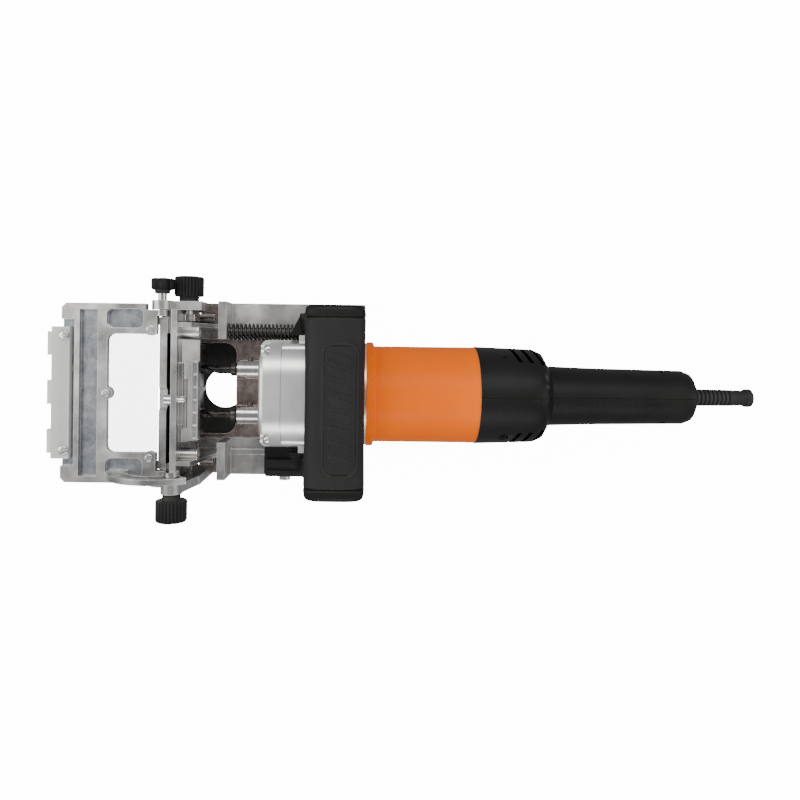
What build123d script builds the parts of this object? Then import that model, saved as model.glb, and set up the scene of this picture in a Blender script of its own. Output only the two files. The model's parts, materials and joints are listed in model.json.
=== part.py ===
from build123d import *
from math import acos, cos, pi, radians, sin, tan
import os

# Twin-spindle dowel jointer. Millimetres.
# Dimensions below are laid out from the drilling face, which is held against the workpiece, at x = 0.
# +X runs back along the tool, y = 0 is its centre plane, and z = 0 is the sole.
# The parts are saved with x measured from the middle of the sole instead, so the shared origin is there.

# Drilling geometry
spindle_pitch = 32.0
axis_z = 45.0
plunge = 37.0
bit_radius = 3.0
bit_tip_x = 1.5
spindle_ys = {"right": spindle_pitch / 2, "left": -spindle_pitch / 2}

# Clearances
running = 0.04
gap = 0.3

# Base
base_front = 15.0
base_rear = 142.5
base_half = 65.5
floor_top = 5.0
ledge_top = 10.0
channel_half = 38.0
post_front = 34.5
post_rear = 40.5
post_top = 35.0
outlet_x = 34.0
outlet_radius = 15.1
chip_half = 35.0
chip_rear = 43.2
rod_y = 43.5
rod_z = 28.0
rod_radius = 3.5
ridge_y = -48.0
ridge_width = 4.0

# Front plate and the carrier that slides up and down on it
centre_pin_y = -4.0
centre_pin_z = 72.0
plate_front = 11.0
plate_half = 57.2
plate_top = 76.0
carrier_thickness = 6.0
carrier_half = 63.7
carrier_bottom = 12.0
carrier_top = 65.7
arm_inner = 57.5
arm_rear = 28.0
arm_bottom = 14.0
hinge_x = 2.0
hinge_z = 65.0
hinge_pin_radius = 2.0

# Height adjuster
rack_module = 0.6
height_teeth = 12
knob_z = 51.0
knob_x = 17.0
height_pitch_radius = rack_module * height_teeth / 2
rack_pitch_x = knob_x - height_pitch_radius

# Fence, lying level at rest
fence_under = 63.0
fence_sheet = 66.5
fence_top = 70.0
fence_front = -65.2
fence_rear = -0.3
fence_half = 61.3
slot_radius = 27.8
slot_half = 3.2
stud_radius = 3.0
lock_angle = 59.7
lock_x = hinge_x + slot_radius * cos(radians(lock_angle))
lock_z = hinge_z + slot_radius * sin(radians(lock_angle))

# Gearbox
cover_front = 69.5
cover_rear = 85.0
housing_rear = 143.0
gearbox_width = 75.0
gearbox_height = 64.0
gear_module = 0.8
pinion_teeth = 16
spindle_teeth = 24
gear_front = 91.5
gear_rear = 101.5
neck_front = 46.2
neck_radius = 4.5
sleeve_front = 50.8
sleeve_radius = 6.9
set_screw_x = 60.0

# Motor and rear handle
tube_radius = 34.0
tube_bore = 31.0
tube_rear = 220.0
shell_rear = 374.5
boot_rear = 418.0
shaft_radius = 4.0

# Bow handle
grip_x = 123.0
grip_z = 122.0
grip_half = 58.5
cap_inner = 51.0


def block(x0, x1, y0, y1, z0, z1, mode=Mode.ADD):
    """A box between two opposite corners."""
    with Locations(((x0 + x1) / 2, (y0 + y1) / 2, (z0 + z1) / 2)):
        Box(x1 - x0, y1 - y0, z1 - z0, mode=mode)


def round_x(x0, x1, y, z, radius, mode=Mode.ADD):
    """A cylinder along X."""
    with Locations(Location(((x0 + x1) / 2, y, z), (0, 90, 0))):
        Cylinder(radius, x1 - x0, mode=mode)


def round_y(y0, y1, x, z, radius, mode=Mode.ADD):
    """A cylinder along Y."""
    with Locations(Location((x, (y0 + y1) / 2, z), (90, 0, 0))):
        Cylinder(radius, y1 - y0, mode=mode)


def round_z(z0, z1, x, y, radius, mode=Mode.ADD):
    """A cylinder along Z."""
    with Locations((x, y, (z0 + z1) / 2)):
        Cylinder(radius, z1 - z0, mode=mode)


def turn(points, y=0.0, z=axis_z, mode=Mode.ADD):
    """Revolve (x, radius) points about an axis along X through (y, z)."""
    with BuildSketch(Plane(origin=(0, y, z), x_dir=(1, 0, 0), z_dir=(0, -1, 0))) as profile:
        with BuildLine():
            Polyline(*points, close=True)
        make_face()
    revolve(profile.sketch, axis=Axis((0, y, z), (1, 0, 0)), mode=mode)


def side_plate(points, y0, y1, mode=Mode.ADD):
    """Extrude an outline of (x, z) points from y0 to y1."""
    with BuildSketch(Plane(origin=(0, y1, 0), x_dir=(1, 0, 0), z_dir=(0, -1, 0))) as outline:
        with BuildLine():
            Polyline(*points, close=True)
        make_face()
    extrude(outline.sketch, amount=y1 - y0, mode=mode)


def ring_sector(inner, outer, angle0, angle1):
    """Sketch of an annular sector centred on the sketch origin, angles in degrees."""
    middle = (angle0 + angle1) / 2

    def at(radius, angle):
        return (radius * cos(radians(angle)), radius * sin(radians(angle)))

    with BuildSketch() as sector:
        with BuildLine():
            ThreePointArc(at(outer, angle0), at(outer, middle), at(outer, angle1))
            Line(at(outer, angle1), at(inner, angle1))
            ThreePointArc(at(inner, angle1), at(inner, middle), at(inner, angle0))
            Line(at(inner, angle0), at(outer, angle0))
        make_face()
    return sector.sketch


def gear_outline(teeth, module, phase, pressure=25.0, backlash=0.1, steps=5):
    """Points of an involute gear; phase is the angle in degrees of one tooth's middle."""
    pitch_radius = module * teeth / 2
    base_radius = pitch_radius * cos(radians(pressure))
    tip_radius = pitch_radius + module
    root_radius = pitch_radius - 1.25 * module
    half_tooth = pi / (2 * teeth) - backlash / (2 * pitch_radius)

    def involute(angle):
        return tan(angle) - angle

    def half_angle(radius):
        reach = max(radius, base_radius)
        return half_tooth + involute(radians(pressure)) - involute(acos(base_radius / reach))

    radii = [root_radius]
    start = max(root_radius, base_radius)
    radii += [start + (tip_radius - start) * i / (steps - 1) for i in range(steps)]
    points = []
    for tooth in range(teeth):
        middle = radians(phase) + 2 * pi * tooth / teeth
        flank = [(radius, middle - half_angle(radius)) for radius in radii]
        flank += [(radius, middle + half_angle(radius)) for radius in reversed(radii)]
        points += [(radius * cos(angle), radius * sin(angle)) for radius, angle in flank]
    if root_radius > base_radius:
        return points
    return [point for i, point in enumerate(points) if i == 0 or point != points[i - 1]]


def gear_on_x(teeth, phase, y, bore):
    """A spindle-train gear between gear_front and gear_rear, on an axis along X at (y, axis_z)."""
    with BuildSketch(Plane(origin=(gear_front, y, axis_z), x_dir=(0, 1, 0), z_dir=(1, 0, 0))) as face:
        with BuildLine():
            Polyline(*gear_outline(teeth, gear_module, phase), close=True)
        make_face()
        if bore:
            Circle(bore, mode=Mode.SUBTRACT)
    extrude(face.sketch, amount=gear_rear - gear_front)


def save(part, name):
    """Save a part with the middle of the sole as its origin."""
    placed = part.moved(Location((-(base_front + base_rear) / 2, 0, 0)))
    placed.label = name
    export_step(placed, f"parts/{name}.step")


os.makedirs("parts", exist_ok=True)

# ---------------------------------------------------------------- base
recess_top = 2.8
gusset_inner = 45.5
gusset_outer = 48.5
screw_radius = 2.0
screw_places = [(s * 52.5, 8.0) for s in (1, -1)] + [(s * 42.5, 61.0) for s in (1, -1)]
rear_post_front = 137.0

with BuildPart() as base_casting:
    block(base_front, base_rear, -base_half, base_half, 0, floor_top)
    for s in (1, -1):
        low, high = sorted((s * channel_half, s * base_half))
        block(post_front, base_rear, low, high, floor_top, ledge_top)
        block(post_front, post_rear, low, high, ledge_top, post_top)
        low, high = sorted((s * gusset_inner, s * gusset_outer))
        side_plate([(base_front, floor_top), (post_front, floor_top), (post_front, post_top),
                    (24, 74), (base_front, 74)], low, high)
        low, high = sorted((s * gusset_outer, s * channel_half))
        block(base_front, post_front, low, high, floor_top, ledge_top)
        for y, z in screw_places:
            if y * s > 0:
                round_x(base_front, base_front + 12, y, z, 4.5)
    block(post_rear, rear_post_front, ridge_y - ridge_width / 2, ridge_y + ridge_width / 2, ledge_top,
          ledge_top + 2)
    block(rear_post_front, base_rear, rod_y - 5, rod_y + 5.5, ledge_top, rod_z + 7.5)
    with BuildSketch(Plane.XY) as chip_opening:
        with Locations(((base_front - 20 + chip_rear) / 2, 0)):
            RectangleRounded(chip_rear - base_front + 20, 2 * chip_half, 9)
    extrude(chip_opening.sketch, amount=ledge_top + 1, mode=Mode.SUBTRACT)
    block(base_front - 1, 53.8, -channel_half - gap, channel_half + gap, -1, recess_top, mode=Mode.SUBTRACT)
    round_x(post_front - 1, base_rear + 1, rod_y, rod_z, rod_radius + running, mode=Mode.SUBTRACT)
    for y, z in screw_places:
        round_x(base_front - 1, base_front + 12, y, z, screw_radius + running, mode=Mode.SUBTRACT)
save(base_casting.part, "base_casting")

boss_rear = 18.0
rib_rear = 21.0
bit_hole = 5.5
sleeve_hole = 9.5
hood_rear = 26.5
hood_bottom = 54.8
hood_shoulder = 58.0
hood_ridge_x = 17.0
hood_top = 68.0
hood_left = -33.0
hood_right = 37.0
ladder_front = 22.3
ladder_top = 62.5
ladder_left = -32.0
ladder_right = 22.0
ladder_wall = 0.8
rungs = 6
with BuildPart() as front_plate:
    block(plate_front, base_front, -plate_half, plate_half, 0, plate_top)
    block(base_front, boss_rear, -21, 21, recess_top + gap, 70)
    block(base_front, boss_rear, -34, 34, recess_top + gap, 52)
    for i in range(-2, 3):
        block(boss_rear, rib_rear, 16.0 * i - 1.5, 16.0 * i + 1.5, 14, 52)
    side_plate([(base_front, hood_bottom), (hood_rear, hood_bottom), (hood_rear, hood_shoulder),
                (hood_ridge_x, hood_top), (base_front, hood_top)], hood_left, hood_right)
    block(18.2, 20, -24, 10.5, 60, 68.5)
    block(ladder_front, hood_rear, ladder_left, ladder_right, 56, ladder_top)
    rung_pitch = (ladder_right - ladder_left - ladder_wall) / rungs
    for i in range(rungs):
        cell = ladder_left + ladder_wall + rung_pitch * i
        block(ladder_front + ladder_wall, hood_rear - ladder_wall, cell, cell + rung_pitch - ladder_wall,
              ladder_top - 2, ladder_top + 1, mode=Mode.SUBTRACT)
    for y in spindle_ys.values():
        round_x(plate_front - 1, rib_rear + 1, y, axis_z, bit_hole, mode=Mode.SUBTRACT)
        round_x(13.2, rib_rear + 1, y, axis_z, sleeve_hole, mode=Mode.SUBTRACT)
    block(11.8, base_front + 1, 50 - gap, 55 + gap, 36 - gap, 72 + gap, mode=Mode.SUBTRACT)
    block(knob_x - 3.3, base_front + 1, 55, plate_half + 1, knob_z - 11, knob_z + 19, mode=Mode.SUBTRACT)
    round_x(plate_front - 1, boss_rear + 1, centre_pin_y, centre_pin_z, 2 + running, mode=Mode.SUBTRACT)
    for y, z in screw_places:
        turn([(plate_front - 1, 0), (plate_front - 1, 4.2), (plate_front, 4.2),
              (13.2, screw_radius + running), (base_front + 1, screw_radius + running),
              (base_front + 1, 0)], y, z, mode=Mode.SUBTRACT)
save(front_plate.part, "front_plate")

with BuildPart() as front_plate_screws:
    for y, z in screw_places:
        turn([(plate_front, 0), (plate_front, 4), (13, screw_radius), (26, screw_radius), (26, 0)], y, z)
save(front_plate_screws.part, "front_plate_screws")

# A black low-friction liner on the front plate, which the carrier slides up and down against
liner_front = carrier_thickness + gap
liner_bottom = 14.0
liner_top = 59.5
liner_right = 41.2
liner_left = -48.7
with BuildPart() as slide_liner:
    block(liner_front, plate_front, liner_left, liner_right, liner_bottom, liner_top)
    for y in spindle_ys.values():
        round_x(liner_front - 1, plate_front + 1, y, axis_z, bit_hole, mode=Mode.SUBTRACT)
save(slide_liner.part, "slide_liner")

with BuildPart() as centre_pin:
    round_x(6.4, plate_front, centre_pin_y, centre_pin_z, 3.9)
    round_x(plate_front, 20, centre_pin_y, centre_pin_z, 2)
    chamfer(centre_pin.edges().filter_by(GeomType.CIRCLE).sort_by(Axis.X)[-1], 0.5)
save(centre_pin.part, "centre_pin")

rack_pitch = pi * rack_module
rack_flank = tan(radians(25))
with BuildPart() as height_rack:
    block(11.8, rack_pitch_x - 1.25 * rack_module, 50, 55, 36, 72)
    half_thick = rack_pitch / 4 - 0.05
    for i in range(-7, 11):
        tooth_z = knob_z + (i + 0.5) * rack_pitch
        root = half_thick + 1.25 * rack_module * rack_flank
        tip = half_thick - rack_module * rack_flank
        side_plate([(rack_pitch_x - 1.25 * rack_module - 0.1, tooth_z - root),
                    (rack_pitch_x + rack_module, tooth_z - tip),
                    (rack_pitch_x + rack_module, tooth_z + tip),
                    (rack_pitch_x - 1.25 * rack_module - 0.1, tooth_z + root)], 50, 55)
save(height_rack.part, "height_rack")

with BuildPart() as chip_tray:
    block(base_front + gap, 53.5, -channel_half, channel_half, 0.2, recess_top - 0.2)
    round_z(0, recess_top, outlet_x, 0, outlet_radius, mode=Mode.SUBTRACT)
save(chip_tray.part, "chip_tray")

with BuildPart() as guide_rod:
    round_x(post_front + gap, base_rear - gap, rod_y, rod_z, rod_radius)
    chamfer(guide_rod.edges().filter_by(GeomType.CIRCLE), 0.5)
save(guide_rod.part, "guide_rod")

# ---------------------------------------------------------------- depth stop
stop_front = 68.5
stop_rear = 97.5
stop_outer = -63.5
stop_inner = -41.0
stop_top = 28.0
with BuildPart() as depth_stop:
    block(stop_front, stop_rear, stop_outer, stop_inner, ledge_top + gap, stop_top)
    chamfer(depth_stop.edges().filter_by(Axis.Z), 1.5)
    for y in (-60, -52):
        block(stop_front + 2, stop_rear - 1, y - 1.3, y + 1.3, stop_top, stop_top + 2)
    block(stop_front - 1, stop_rear + 1, ridge_y - ridge_width / 2 - gap, ridge_y + ridge_width / 2 + gap,
          ledge_top, ledge_top + 2 + gap, mode=Mode.SUBTRACT)
    round_y(stop_outer - 1, stop_outer + 14, 83, 20, 2.5 + running, mode=Mode.SUBTRACT)
save(depth_stop.part, "depth_stop")

with BuildPart() as depth_stop_screw:
    round_y(stop_outer - 3.5, stop_outer, 83, 20, 4.25)
    round_y(stop_outer, stop_outer + 12, 83, 20, 2.5)
    with BuildSketch(Plane(origin=(83, stop_outer - 3.5, 20), x_dir=(1, 0, 0), z_dir=(0, -1, 0))) as socket:
        RegularPolygon(2.2, 6)
    extrude(socket.sketch, amount=-2, mode=Mode.SUBTRACT)
save(depth_stop_screw.part, "depth_stop_screw")

# ---------------------------------------------------------------- height carrier
pad_depth = 1.6
lip_front = base_front + gap
lip_rear = lip_front + 2.5
boss_radius = 7.0
horn_front = 8.0
boss_under = fence_under + 0.2
face_top = fence_under - 0.4
face_relief = 0.4
shoulder_rear = plate_front - gap
shoulder_inner = {1: 41.5, -1: 49.0}
shoulder_bottom = 20.0
shoulder_top = 61.0
ear_clear_top = 58.8
notch_half = 8.0
notch_bottom = 62.5
notch_chamfer = 2.5
ear_inner = 53.0
ear_outer = 57.0
with BuildPart() as fence_carrier:
    block(0, carrier_thickness, -carrier_half, carrier_half, carrier_bottom, carrier_top)
    for s in (1, -1):
        low, high = sorted((s * arm_inner, s * carrier_half))
        block(0, arm_rear, low, high, arm_bottom, carrier_top - 4)
        round_y(low, high, hinge_x, hinge_z, boss_radius)
        low, high = sorted((s * 53, s * arm_inner))
        block(lip_front, lip_rear, low, high, 20, 40)
        low, high = sorted((s * shoulder_inner[s], s * (ear_inner - 0.4)))
        block(carrier_thickness, shoulder_rear, low, high, shoulder_bottom, shoulder_top)
        low, high = sorted((s * (ear_inner - 0.4), s * arm_inner))
        block(carrier_thickness, shoulder_rear, low, high, shoulder_bottom, ear_clear_top)
    side_plate([(horn_front, 58), (arm_rear, 58), (lock_x + 6.5, lock_z - 3), (lock_x - 6.5, lock_z - 3)],
               -carrier_half, -arm_inner)
    round_y(-carrier_half, -arm_inner, lock_x, lock_z, boss_radius)
    for s in (1, -1):
        low, high = sorted((s * (ear_inner - 0.4), s * (ear_outer + 0.5)))
        block(-8, carrier_thickness + 1, low, high, hinge_z - 6, hinge_z + 9, mode=Mode.SUBTRACT)
    for y in (-60, 60):
        round_y(y - 8, y + 8, hinge_x, hinge_z, hinge_pin_radius + running, mode=Mode.SUBTRACT)
    block(-10, 0, -70, 70, hinge_z - 12, boss_under, mode=Mode.SUBTRACT)
    block(-1, face_relief, -70, 70, face_top, boss_under, mode=Mode.SUBTRACT)
    block(-1, face_relief, -arm_inner, arm_inner, face_top, carrier_top + 1, mode=Mode.SUBTRACT)
    with BuildSketch(Plane.YZ.offset(-1)) as notch:
        with BuildLine():
            Polyline(*[(centre_pin_y + across, z) for across, z in (
                (-notch_half, carrier_top + 1), (-notch_half, carrier_top - 0.6),
                (notch_chamfer - notch_half, notch_bottom), (notch_half - notch_chamfer, notch_bottom),
                (notch_half, carrier_top - 0.6), (notch_half, carrier_top + 1))], close=True)
        make_face()
    extrude(notch.sketch, amount=carrier_thickness + 2, mode=Mode.SUBTRACT)
    with BuildSketch(Plane.YZ.offset(-1)) as bit_windows:
        with Locations(*[(y, 40.5) for y in spindle_ys.values()]):
            SlotOverall(33, 12.5, rotation=90)
    extrude(bit_windows.sketch, amount=carrier_thickness + 2, mode=Mode.SUBTRACT)
    for s in (1, -1):
        low, high = sorted((s * 30, s * 50))
        block(-1, pad_depth, low, high, 18, 40, mode=Mode.SUBTRACT)
    round_y(40, 70, knob_x, knob_z, 3 + running, mode=Mode.SUBTRACT)
    round_y(-70, -50, lock_x, lock_z, stud_radius + running, mode=Mode.SUBTRACT)
save(fence_carrier.part, "fence_carrier")

with BuildPart() as registration_pads:
    for s in (1, -1):
        low, high = sorted((s * 30.1, s * 49.9))
        block(0, pad_depth, low, high, 18.1, 39.9)
save(registration_pads.part, "registration_pads")

with BuildPart() as hinge_pin:
    round_y(-carrier_half + 0.5, -ear_inner + 0.2, hinge_x, hinge_z, hinge_pin_radius)
save(hinge_pin.part, "hinge_pin")

knob_stud_end = 76.0
with BuildPart() as pivot_lock_stud:
    round_y(ear_inner - 0.2, carrier_half + 1, hinge_x, hinge_z, hinge_pin_radius)
    round_y(carrier_half, knob_stud_end, hinge_x, hinge_z, stud_radius)
save(pivot_lock_stud.part, "pivot_lock_stud")

with BuildPart() as angle_lock_stud:
    round_y(-78, -ear_inner + 3.4, lock_x, lock_z, stud_radius)
    round_y(-ear_inner + gap, -ear_inner + 3.4, lock_x, lock_z, 5)
save(angle_lock_stud.part, "angle_lock_stud")

# ---------------------------------------------------------------- height adjuster knob
knob_radius = 10.3
knob_ribs = 24


def ribbed_knob(x, z, y0, y1, bore):
    """A knob on an axis along Y, with ribs round its rim and a blind bore from y0."""
    round_y(min(y0, y1), max(y0, y1), x, z, knob_radius)
    for i in range(knob_ribs):
        angle = 2 * pi * i / knob_ribs
        round_y(min(y0, y1) - 1, max(y0, y1) + 1, x + (knob_radius + 0.5) * cos(angle),
                z + (knob_radius + 0.5) * sin(angle), 1.0, mode=Mode.SUBTRACT)
    depth = 12 if y1 > y0 else -12
    if bore:
        round_y(min(y0, y0 + depth), max(y0, y0 + depth), x, z, bore, mode=Mode.SUBTRACT)


with BuildPart() as height_knob:
    ribbed_knob(knob_x, knob_z, 67.5, 81.5, 0)
    round_y(carrier_half + gap, 67.5, knob_x, knob_z, 7)
    round_y(carrier_half, 77, knob_x, knob_z, 3 + running, mode=Mode.SUBTRACT)
save(height_knob.part, "height_knob")

with BuildPart() as height_pinion:
    with BuildSketch(Plane(origin=(knob_x, 54.8, knob_z), x_dir=(1, 0, 0), z_dir=(0, -1, 0))) as pinion_face:
        with BuildLine():
            Polyline(*gear_outline(height_teeth, rack_module, 180), close=True)
        make_face()
    extrude(pinion_face.sketch, amount=4.6)
    round_y(54.8, 76.5, knob_x, knob_z, 2.8)
    round_y(arm_inner - 0.5, 76.5, knob_x, knob_z, 3)
save(height_pinion.part, "height_pinion")

# ---------------------------------------------------------------- fence
window_half = 40.5
window_front = -34.0
window_corner = 5.0
pane_top = 65.2
pane_front = -39.2
pane_half = 46.8
window_boss_places = [(-34.6, 0.0), (-4.6, 43.9), (-4.6, -43.9)]
window_boss_radius = 4.4
pocket_front = -34.5
pocket_rear = -9.5
pocket_inner = 44.5
pocket_outer = 57.5
pocket_corner = 4.0
quadrant_inner = 23.0
quadrant_outer = 35.5
strip_half = 45.0
strip_screw_x = -62.3
strip_screw_ys = (-39.0, 39.0)
rim = 4.3
with BuildPart() as fence_plate:
    block(fence_front, fence_rear, -ear_outer, ear_outer, fence_under, fence_top)
    block(fence_front, -8, -fence_half, fence_half, fence_under, fence_top)
    chamfer(fence_plate.edges().filter_by(Axis.Z).sort_by(Axis.X)[:2], 3)
    for s in (1, -1):
        low, high = sorted((s * ear_inner, s * ear_outer))
        block(-8, hinge_x, low, high, fence_under, hinge_z + 5)
        round_y(low, high, hinge_x, hinge_z, 5.2)
        block(-8, 0, low - 1, high + 1, hinge_z - 8, fence_under, mode=Mode.SUBTRACT)
        block(fence_rear, 9, s * 40 - 12.9, s * 40 + 12.9, 50, 90, mode=Mode.SUBTRACT)
        block(-8, -0.01, *sorted((s * ear_outer, s * (fence_half + 1))), 60, 80, mode=Mode.SUBTRACT)
    block(fence_front - 1, -56.3, -50, 50, fence_sheet, fence_top + 1, mode=Mode.SUBTRACT)
    block(-52.9, -40.5, -fence_half + rim, fence_half - rim, fence_sheet, fence_top + 1, mode=Mode.SUBTRACT)
    with BuildSketch(Plane.XY.offset(fence_sheet)) as pockets:
        for s in (1, -1):
            with Locations(((pocket_front + pocket_rear) / 2, s * (pocket_inner + pocket_outer) / 2)):
                RectangleRounded(pocket_rear - pocket_front, pocket_outer - pocket_inner, pocket_corner)
    extrude(pockets.sketch, amount=5, mode=Mode.SUBTRACT)
    with BuildSketch(Plane.XY.offset(fence_under)) as window:
        with Locations(((window_front + 10) / 2, 0)):
            RectangleRounded(10 - window_front, 2 * window_half, window_corner)
    extrude(window.sketch, amount=10, mode=Mode.SUBTRACT)
    for x, y in window_boss_places:
        round_z(pane_top + 0.1, fence_top, x, y, window_boss_radius)
    block(pane_front, 1, -pane_half, pane_half, fence_under - 1, pane_top + 0.1, mode=Mode.SUBTRACT)
    hinge_plane = Plane(origin=(hinge_x, -ear_inner, hinge_z), x_dir=(1, 0, 0), z_dir=(0, -1, 0))
    with BuildSketch(hinge_plane) as arc_plate:
        add(ring_sector(quadrant_inner, quadrant_outer, lock_angle - 12, lock_angle + 102))
        add(ring_sector(slot_radius - slot_half, slot_radius + slot_half, lock_angle, lock_angle + 90),
            mode=Mode.SUBTRACT)
        for angle in (lock_angle, lock_angle + 90):
            with Locations((slot_radius * cos(radians(angle)), slot_radius * sin(radians(angle)))):
                Circle(slot_half, mode=Mode.SUBTRACT)
    extrude(arc_plate.sketch, amount=ear_outer - ear_inner)
    block(-33, -20, -ear_outer, -ear_inner, fence_sheet, 73)
    for y in (-ear_inner - 2, ear_inner + 2):
        round_y(y - 4, y + 4, hinge_x, hinge_z, hinge_pin_radius + running, mode=Mode.SUBTRACT)
    for x, y in window_boss_places:
        round_z(fence_under, fence_top + 1, x, y, 1.5 + running, mode=Mode.SUBTRACT)
    for y in strip_screw_ys:
        round_z(fence_under + 0.5, fence_top + 1, strip_screw_x, y, 2 + running, mode=Mode.SUBTRACT)
save(fence_plate.part, "fence_plate")

with BuildPart() as sight_window:
    block(pane_front + 0.2, fence_rear - 0.3, -pane_half + 0.2, pane_half - 0.2, fence_under + 0.2, pane_top)
    for x, y in window_boss_places:
        round_z(fence_under, pane_top + 1, x, y, 1.5 + running, mode=Mode.SUBTRACT)
save(sight_window.part, "sight_window")

with BuildPart() as window_screws:
    for x, y in window_boss_places:
        round_z(fence_under + 0.4, fence_top, x, y, 1.5)
        round_z(fence_top, fence_top + 1.6, x, y, 2.8)
save(window_screws.part, "window_screws")

strip_front = -71.3
strip_rear = -59.0
strip_top = 71.3
with BuildPart() as wear_strip:
    block(strip_front, strip_rear, -strip_half, strip_half, fence_sheet, strip_top)
    block(strip_front, fence_front - 0.1, -strip_half, strip_half, 64, fence_sheet + 0.5)
    for i in (-1, 0, 1):
        block(-75.5, strip_front + 1, 33.5 * i - 8.15, 33.5 * i + 8.15, 64, 68)
    for y in strip_screw_ys:
        round_z(fence_sheet - 1, strip_top + 1, strip_screw_x, y, 2 + running, mode=Mode.SUBTRACT)
save(wear_strip.part, "wear_strip")

with BuildPart() as strip_screws:
    for y in strip_screw_ys:
        round_z(fence_under + 0.8, strip_top, strip_screw_x, y, 2)
        round_z(strip_top, strip_top + 1.9, strip_screw_x, y, 3.4)
save(strip_screws.part, "strip_screws")

with BuildPart() as angle_lock_knob:
    ribbed_knob(lock_x, lock_z, -67.8, -82, 0)
    round_y(-67.8, -carrier_half - gap, lock_x, lock_z, 6)
    round_y(-79, -60, lock_x, lock_z, stud_radius + running, mode=Mode.SUBTRACT)
save(angle_lock_knob.part, "angle_lock_knob")

lobe_count = 5
with BuildPart() as pivot_lock_knob:
    round_y(70.8, 78.8, hinge_x, hinge_z, 7.5)
    for i in range(lobe_count):
        angle = 2 * pi * (i + 0.5) / lobe_count
        round_y(70.8, 78.8, hinge_x + 6.2 * cos(angle), hinge_z + 6.2 * sin(angle), 3.1)
    round_y(68.5, 70.9, hinge_x, hinge_z, 5.5)
    round_y(60, knob_stud_end + 0.3, hinge_x, hinge_z, stud_radius + running, mode=Mode.SUBTRACT)
save(pivot_lock_knob.part, "pivot_lock_knob")

# ---------------------------------------------------------------- gearbox
corner_radius = 24.0
journal_radius = 6.0
front_bearing_radius = 11.0
rear_bearing_radius = 6.0
motor_bearing_radius = 8.5
wall_front = 106.0
wall_rear = 114.0
gearbox_screw_places = [(y, z) for y in (-31.0, 31.0) for z in (axis_z - 19.5, axis_z + 19.5)]
lug_front = 118.5
lug_rear = 136.5
shoe_front = stop_rear + plunge + 0.1
shoe_rear = 141.5


def gearbox_section(x0, x1, inset, mode=Mode.ADD):
    """The gearbox's rounded outline, drawn in by inset, from x0 to x1."""
    with BuildSketch(Plane(origin=(x0, 0, axis_z), x_dir=(0, 1, 0), z_dir=(1, 0, 0))) as outline:
        RectangleRounded(gearbox_width - 2 * inset, gearbox_height - 2 * inset, corner_radius - inset)
    extrude(outline.sketch, amount=x1 - x0, mode=mode)


with BuildPart() as gearbox_cover:
    gearbox_section(cover_front, cover_rear, 0)
    fillet(gearbox_cover.faces().sort_by(Axis.X)[0].edges(), 4)
    for y, z in gearbox_screw_places:
        round_x(cover_front - 1, cover_front + 7, y, z, 5, mode=Mode.SUBTRACT)
        side = 1 if y > 0 else -1
        up = 1 if z > axis_z else -1
        low, high = sorted((side * 26.5, side * 40))
        bottom, top = sorted((axis_z + up * 15.5, axis_z + up * 40))
        block(cover_front - 1, cover_front + 7, low, high, bottom, top, mode=Mode.SUBTRACT)
        round_x(cover_front, cover_rear + 1, y, z, screw_radius + running, mode=Mode.SUBTRACT)
    for y in spindle_ys.values():
        round_x(cover_front - 1, cover_rear + 1, y, axis_z, sleeve_radius + 0.25, mode=Mode.SUBTRACT)
        round_x(76, cover_rear + 1, y, axis_z, front_bearing_radius + running, mode=Mode.SUBTRACT)
save(gearbox_cover.part, "gearbox_cover")

with BuildPart() as gearbox_housing:
    gearbox_section(cover_rear, 128, 0)
    with BuildSketch(Plane(origin=(128, 0, axis_z), x_dir=(0, 1, 0), z_dir=(1, 0, 0))) as front_end:
        RectangleRounded(gearbox_width, gearbox_height, corner_radius)
    with BuildSketch(Plane(origin=(housing_rear, 0, axis_z), x_dir=(0, 1, 0), z_dir=(1, 0, 0))) as rear_end:
        RectangleRounded(72, 68, 33)
    loft([front_end.sketch.face(), rear_end.sketch.face()])
    block(lug_front, lug_rear, 34, rod_y + 6, rod_z - 6.8, rod_z + 6.8)
    block(shoe_front, shoe_rear, -54, -30, 20, 32)
    for s in (1, -1):
        low, high = sorted((s * 34, s * 40.9))
        block(96, 134, low, high, 38, 60)
    gearbox_section(cover_rear - 1, wall_front, 5, mode=Mode.SUBTRACT)
    round_x(wall_rear, housing_rear + 1, 0, axis_z, 29.5, mode=Mode.SUBTRACT)
    round_x(wall_front - 1, wall_rear + 1, 0, axis_z, shaft_radius + 0.5, mode=Mode.SUBTRACT)
    round_x(wall_front - 1, wall_rear - 2, 0, axis_z, motor_bearing_radius + running, mode=Mode.SUBTRACT)
    for y in spindle_ys.values():
        round_x(wall_front - 1, wall_rear - 2, y, axis_z, rear_bearing_radius + running, mode=Mode.SUBTRACT)
    round_x(lug_front - 1, lug_rear + 1, rod_y, rod_z, 5.2, mode=Mode.SUBTRACT)
    for y, z in gearbox_screw_places:
        round_x(cover_rear, cover_rear + 18, y, z, 4.5)
        round_x(cover_rear - 1, cover_rear + 16, y, z, screw_radius + running, mode=Mode.SUBTRACT)
    for s in (1, -1):
        for x in (103, 125):
            round_y(min(s * 30, s * 50), max(s * 30, s * 50), x, 50, 2 + running, mode=Mode.SUBTRACT)
save(gearbox_housing.part, "gearbox_housing")

with BuildPart() as gearbox_screws:
    for y, z in gearbox_screw_places:
        round_x(cover_front + 2.8, cover_front + 7, y, z, 3.6)
        round_x(cover_front + 7, cover_rear + 15, y, z, screw_radius)
save(gearbox_screws.part, "gearbox_screws")

with BuildPart() as guide_bush:
    turn([(lug_front, rod_radius + 0.05), (lug_front, 5.15), (lug_rear, 5.15), (lug_rear, rod_radius + 0.05)],
         rod_y, rod_z)
save(guide_bush.part, "guide_bush")

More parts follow.
